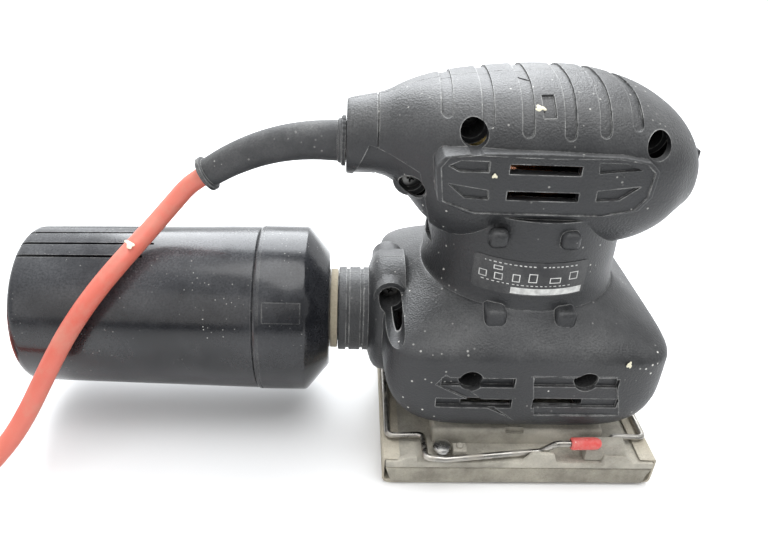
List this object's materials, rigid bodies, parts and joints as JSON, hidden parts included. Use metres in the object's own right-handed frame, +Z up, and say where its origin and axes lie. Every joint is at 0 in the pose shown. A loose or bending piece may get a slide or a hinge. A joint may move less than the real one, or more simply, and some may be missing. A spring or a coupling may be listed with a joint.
{
  "type": "quarter-sheet palm sander",
  "caption": "Electric orbital palm sander with clamshell housing, orbiting pad with wire paper clamps, pull-off dust box and mains cord.",
  "frame": {"origin": "middle of the pad's sanding face, on the abrasive paper", "axes": "+X towards the front of the tool (the switch end, away from the dust box and the cord), +Y towards the tool's left side, +Z up along the motor shaft, out of the pad"},
  "size_m": [0.4257, 0.1469, 0.1432],
  "materials": {
    "housing": "matte charcoal plastic, fine grain, dusty",
    "gloss_black": "glossy black plastic with dust smears",
    "soft_black": "matte black rubber",
    "steel": "zinc-plated spring steel, dusty",
    "aluminium": "cast aluminium, dusty",
    "foam": "dense grey foam",
    "paper": "abrasive paper, gritty",
    "red_sleeve": "satin red vinyl",
    "felt": "felt and filter cloth",
    "copper": "enamelled copper",
    "iron": "laminated iron",
    "carbon": "carbon",
    "brass": "pressed brass",
    "cord_red": "orange-red rubber cord"
  },
  "bodies": {
    "housing": {"housing_right": "housing", "housing_left": "housing", "handle_screw_rear": "steel", "handle_screw_front": "steel", "handle_screw_arm": "steel", "skirt_screw_rear": "steel", "skirt_screw_front": "steel", "port_screw": "steel", "switch_frame": "gloss_black", "switch_body": "gloss_black", "stator_core": "iron", "field_coil_right": "copper", "field_coil_left": "copper", "brush_holder_rear": "brass", "brush_holder_front": "brass", "carbon_brush_rear": "carbon", "carbon_brush_front": "carbon", "brush_spring_rear": "steel", "brush_spring_front": "steel", "lower_bearing": "steel", "upper_bearing": "steel", "rubber_leg_1": "soft_black", "rubber_leg_2": "soft_black", "rubber_leg_3": "soft_black", "rubber_leg_4": "soft_black", "cord_guard": "soft_black", "power_cord": "cord_red", "cord_coil": "cord_red", "cord_end": "cord_red", "mains_plug": "soft_black"},
    "rotor": {"motor_shaft": "steel", "armature_core": "iron", "armature_winding_lower": "copper", "armature_winding_upper": "copper", "commutator": "copper", "fan": "gloss_black", "eccentric_counterweight": "steel"},
    "pad": {"pad_bearing": "steel", "platen": "aluminium", "foam_pad": "foam", "sanding_sheet": "paper", "rear_clamp_bracket": "steel", "front_clamp_bracket": "steel", "rear_bracket_screw": "steel", "front_bracket_screw": "steel", "rear_pivot_block": "aluminium", "front_pivot_block": "aluminium"},
    "rear_lever": {"rear_clamp_lever": "steel", "rear_lever_grip": "red_sleeve"},
    "front_lever": {"front_clamp_lever": "steel", "front_lever_grip": "red_sleeve"},
    "rear_bar": {"rear_clamp_bar": "steel"},
    "front_bar": {"front_clamp_bar": "steel"},
    "rocker": {"switch_rocker": "red_sleeve"},
    "dust_cover": {"dust_box_cover": "gloss_black", "port_seal": "felt", "dust_filter": "felt"},
    "bin": {"dust_bin": "gloss_black"}
  },
  "joints": [
    {"name": "motor_spin", "type": "hinge", "parent": "housing", "child": "rotor", "pos_m": [-0.0008, 0, 0.06], "axis": [0, 0, 1], "continuous": true},
    {"name": "pad_orbit", "type": "hinge", "parent": "rotor", "child": "pad", "pos_m": [0, 0, 0.026], "axis": [0, 0, 1], "continuous": true},
    {"name": "rear_clamp_release", "type": "hinge", "parent": "pad", "child": "rear_lever", "pos_m": [-0.0365, -0.053, 0.015], "axis": [0, -1, 0], "range_deg": [0, 70]},
    {"name": "front_clamp_release", "type": "hinge", "parent": "pad", "child": "front_lever", "pos_m": [0.0365, 0.053, 0.015], "axis": [0, 1, 0], "range_deg": [0, 70]},
    {"name": "rear_bar_lift", "type": "hinge", "parent": "pad", "child": "rear_bar", "pos_m": [-0.0365, 0, 0.015], "axis": [0, 1, 0], "range_deg": [0, 10]},
    {"name": "front_bar_lift", "type": "hinge", "parent": "pad", "child": "front_bar", "pos_m": [0.0365, 0, 0.015], "axis": [0, -1, 0], "range_deg": [0, 10]},
    {"name": "power_switch", "type": "hinge", "parent": "housing", "child": "rocker", "pos_m": [0.0555, 0, 0.1095], "axis": [0, 1, 0], "range_deg": [0, 14]},
    {"name": "dust_box_pull", "type": "slide", "parent": "housing", "child": "dust_cover", "axis": [-1, 0, 0], "range_m": [0, 0.025]},
    {"name": "bin_pull", "type": "slide", "parent": "dust_cover", "child": "bin", "axis": [-1, 0, 0], "range_m": [0, 0.06]}
  ],
  "couplings": [
    {"joint": "pad_orbit", "follows": "motor_spin", "ratio": -1},
    {"joint": "rear_bar_lift", "follows": "rear_clamp_release", "ratio": 0.14286},
    {"joint": "front_bar_lift", "follows": "front_clamp_release", "ratio": 0.14286}
  ]
}
